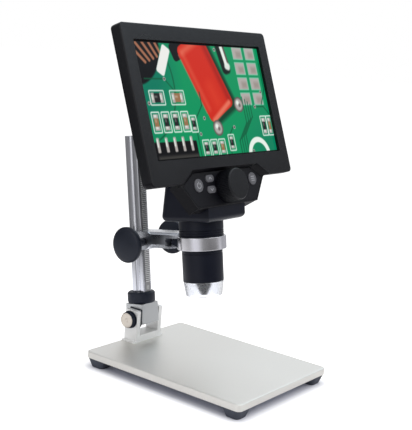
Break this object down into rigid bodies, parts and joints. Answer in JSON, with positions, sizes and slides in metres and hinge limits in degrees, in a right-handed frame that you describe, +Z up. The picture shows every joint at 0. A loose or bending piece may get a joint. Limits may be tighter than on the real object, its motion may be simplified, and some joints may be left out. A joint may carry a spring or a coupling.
{
  "type": "lcd digital microscope",
  "caption": "Digital microscope with a tilting rack-and-pinion stand, a swivelling barrel with a clear lamp tip, and a large leaning screen above it.",
  "frame": {"origin": "middle of the object's bounding box seen from above, on the plane the feet stand on", "axes": "+Z up, front of the screen and of the stage towards -Y, +X to the right of someone facing the screen"},
  "size_m": [0.1782, 0.1733, 0.2695],
  "materials": {
    "base_plate": "fine satin, clear anodised",
    "feet": "matt",
    "bracket": "satin",
    "thumb_screw": "nickel plated",
    "black_plastic": "matt",
    "post": "bright extruded",
    "steel": "plain",
    "arm": "die cast, satin, with a turned and polished ring",
    "knob_plastic": "satin",
    "bronze": "sintered",
    "pad": "smooth",
    "clear_plastic": "clear acrylic",
    "lens_glass": "coated",
    "circuit_board": "solder mask",
    "white_led": "clear epoxy",
    "chip": "smooth",
    "housing": "fine grain",
    "fascia": "fine grain",
    "button_plastic": "satin",
    "screen": "glossy panel",
    "battery_wrap": "foil pouch"
  },
  "bodies": {
    "base": {"base_plate": "base_plate", "foot_front_left": "feet", "foot_front_right": "feet", "foot_back_left": "feet", "foot_back_right": "feet", "foot_screws": "steel", "hinge_bracket": "bracket", "bracket_screws": "steel"},
    "tilt_screw": {"tilt_thumb_screw": "thumb_screw", "tilt_washer": "black_plastic"},
    "post": {"pivot_block": "bracket", "block_grub_screw": "steel", "post_collar": "black_plastic", "post_bar": "post", "gear_rack": "steel", "rack_screws": "steel"},
    "carriage": {"focus_arm": "arm", "glide_pad": "pad", "tension_screws": "steel", "pinion_bush_left": "arm", "pinion_bush_right": "arm"},
    "focus_drive": {"drive_pinion": "steel", "drive_shaft": "steel", "rack_knob_left": "knob_plastic", "rack_knob_right": "knob_plastic"},
    "ring_screw": {"ring_set_screw": "black_plastic"},
    "head": {"barrel_sleeve": "knob_plastic", "barrel_collar": "knob_plastic", "clear_tip": "clear_plastic", "lamp_board": "circuit_board", "lamp_leds": "white_led", "nose_cone": "black_plastic", "front_window": "lens_glass", "lens_guide": "black_plastic", "camera_body": "knob_plastic", "sensor_board": "circuit_board", "image_sensor": "chip", "port_board": "circuit_board", "charge_socket": "steel", "card_slot": "steel", "front_bezel": "housing", "rear_cover": "housing", "housing_screws": "steel", "body_screws": "steel", "control_fascia": "fascia", "button_board": "circuit_board", "lcd_panel": "screen", "main_board": "circuit_board", "battery": "battery_wrap"},
    "lens_unit": {"lens_carrier": "black_plastic", "objective_lens": "lens_glass", "relay_lens": "lens_glass"},
    "wheel": {"focus_wheel": "fascia", "wheel_shaft": "steel", "lens_pinion": "bronze"},
    "power_key": {"power_button": "button_plastic"},
    "up_key": {"up_button": "button_plastic"},
    "down_key": {"down_button": "button_plastic"},
    "menu_key": {"menu_button": "button_plastic"}
  },
  "joints": [
    {"name": "tilt_screw_turn", "type": "hinge", "parent": "base", "child": "tilt_screw", "pos_m": [0, 0.0578, 0.0314], "axis": [-1, 0, 0], "range_deg": [0, 360]},
    {"name": "post_tilt", "type": "hinge", "parent": "base", "child": "post", "pos_m": [0, 0.0578, 0.0314], "axis": [1, 0, 0], "range_deg": [-15, 10]},
    {"name": "carriage_slide", "type": "slide", "parent": "post", "child": "carriage", "axis": [0, 0.1564, 0.9877], "range_m": [-0.028, 0.072]},
    {"name": "drive_turn", "type": "hinge", "parent": "carriage", "child": "focus_drive", "pos_m": [0, 0.0557, 0.09613], "axis": [1, 0, 0], "range_deg": [-1032, 402]},
    {"name": "ring_screw_turn", "type": "hinge", "parent": "carriage", "child": "ring_screw", "pos_m": [0, 0.02684, 0.10059], "axis": [0, 0.9877, -0.1564], "range_deg": [0, 360]},
    {"name": "head_swivel", "type": "hinge", "parent": "carriage", "child": "head", "pos_m": [0, -0.00729, 0.04171], "axis": [0, 0.1564, 0.9877], "range_deg": [-45, 45]},
    {"name": "lens_focus", "type": "slide", "parent": "head", "child": "lens_unit", "axis": [0, 0.1564, 0.9877], "range_m": [-0.0035, 0.0035]},
    {"name": "focus_wheel_turn", "type": "hinge", "parent": "head", "child": "wheel", "pos_m": [0, -0.01984, 0.15416], "axis": [0, -0.9379, 0.3469], "range_deg": [-57, 57]},
    {"name": "power_press", "type": "slide", "parent": "head", "child": "power_key", "axis": [0, 0.9379, -0.3469], "range_m": [0, 0.0005], "stiffness_N_per_m": 800, "springref_m": -0.0005},
    {"name": "up_press", "type": "slide", "parent": "head", "child": "up_key", "axis": [0, 0.9379, -0.3469], "range_m": [0, 0.0005], "stiffness_N_per_m": 800, "springref_m": -0.0005},
    {"name": "down_press", "type": "slide", "parent": "head", "child": "down_key", "axis": [0, 0.9379, -0.3469], "range_m": [0, 0.0005], "stiffness_N_per_m": 800, "springref_m": -0.0005},
    {"name": "menu_press", "type": "slide", "parent": "head", "child": "menu_key", "axis": [0, 0.9379, -0.3469], "range_m": [0, 0.0005], "stiffness_N_per_m": 800, "springref_m": -0.0005}
  ],
  "couplings": [
    {"joint": "drive_turn", "follows": "carriage_slide", "rad_per_m": -250},
    {"joint": "focus_wheel_turn", "follows": "lens_focus", "rad_per_m": 280.18}
  ]
}
